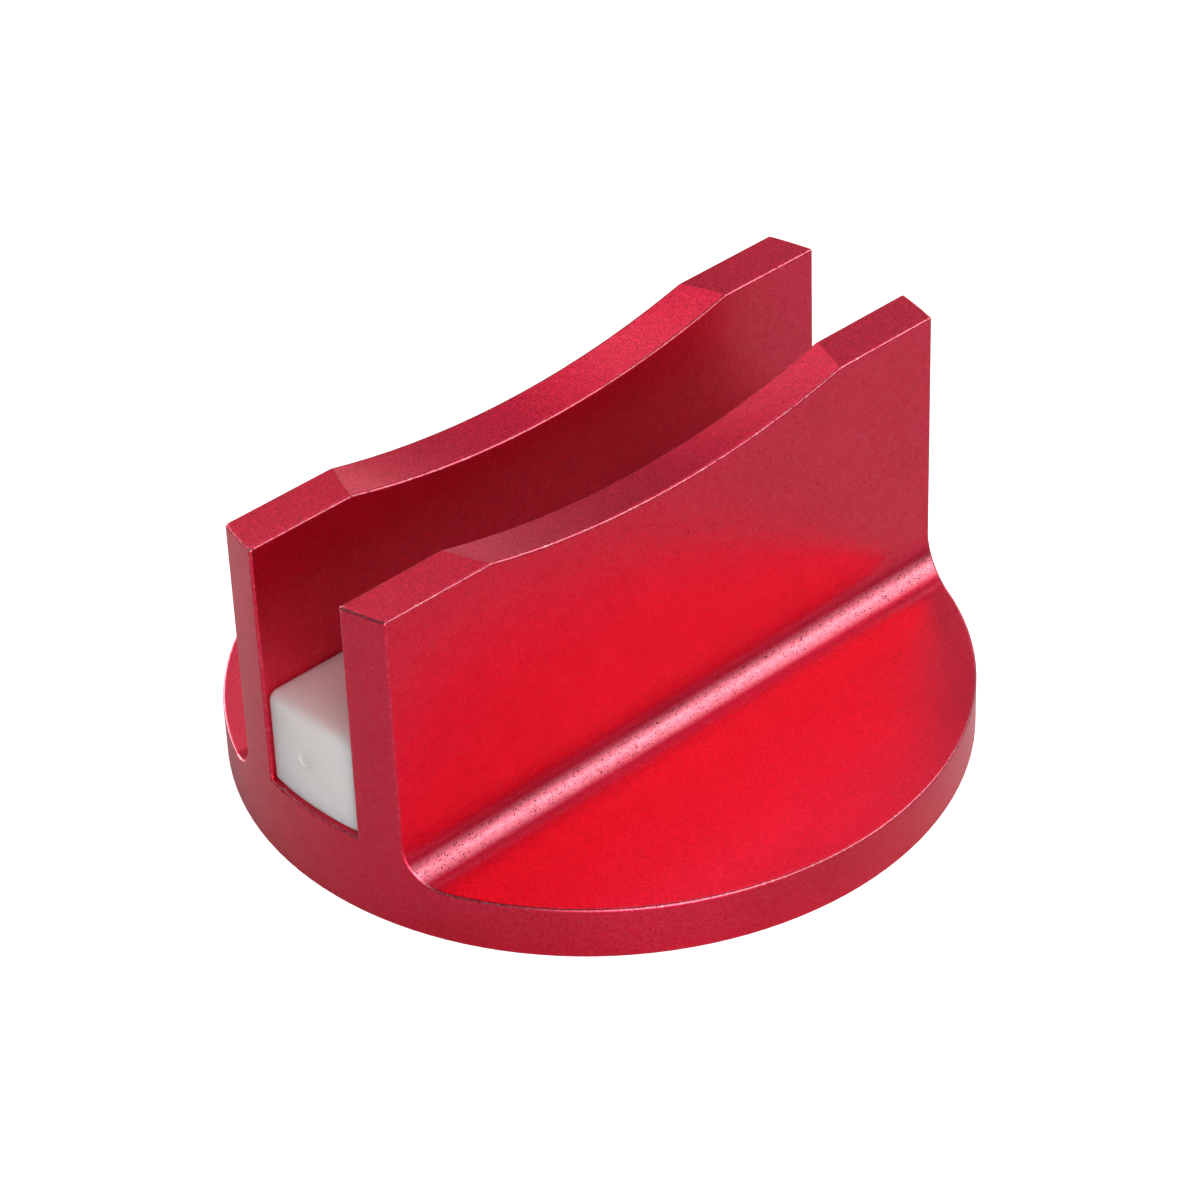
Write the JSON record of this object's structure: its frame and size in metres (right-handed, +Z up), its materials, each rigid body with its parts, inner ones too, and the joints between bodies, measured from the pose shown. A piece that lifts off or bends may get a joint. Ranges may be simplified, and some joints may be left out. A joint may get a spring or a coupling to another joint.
{
  "type": "slotted jack pad",
  "caption": "Round jack pad with dished walls either side of a slot for a sill seam, a white insert in the slot and a ring magnet in its underside.",
  "frame": {"origin": "centre of the round underside, on the plane that the pad stands on", "axes": "+X along the slot, +Y across the two walls, +Z up out of the slot"},
  "size_m": [0.065, 0.065, 0.031],
  "materials": {
    "red_anodised": "bead-blasted and anodised red, satin",
    "white_nylon": "moulded, milky white, slightly translucent",
    "nickel_plate": "nickel plated, bright with fine scratches",
    "screw_steel": "zinc-plated steel"
  },
  "bodies": {
    "pad": {"body": "red_anodised", "ring_magnet": "nickel_plate", "magnet_screw": "screw_steel"},
    "insert": {"slot_insert": "white_nylon"}
  },
  "joints": [
    {"name": "insert_slide", "type": "slide", "parent": "pad", "child": "insert", "axis": [1, 0, 0], "range_m": [-0.066, 0.066]}
  ]
}
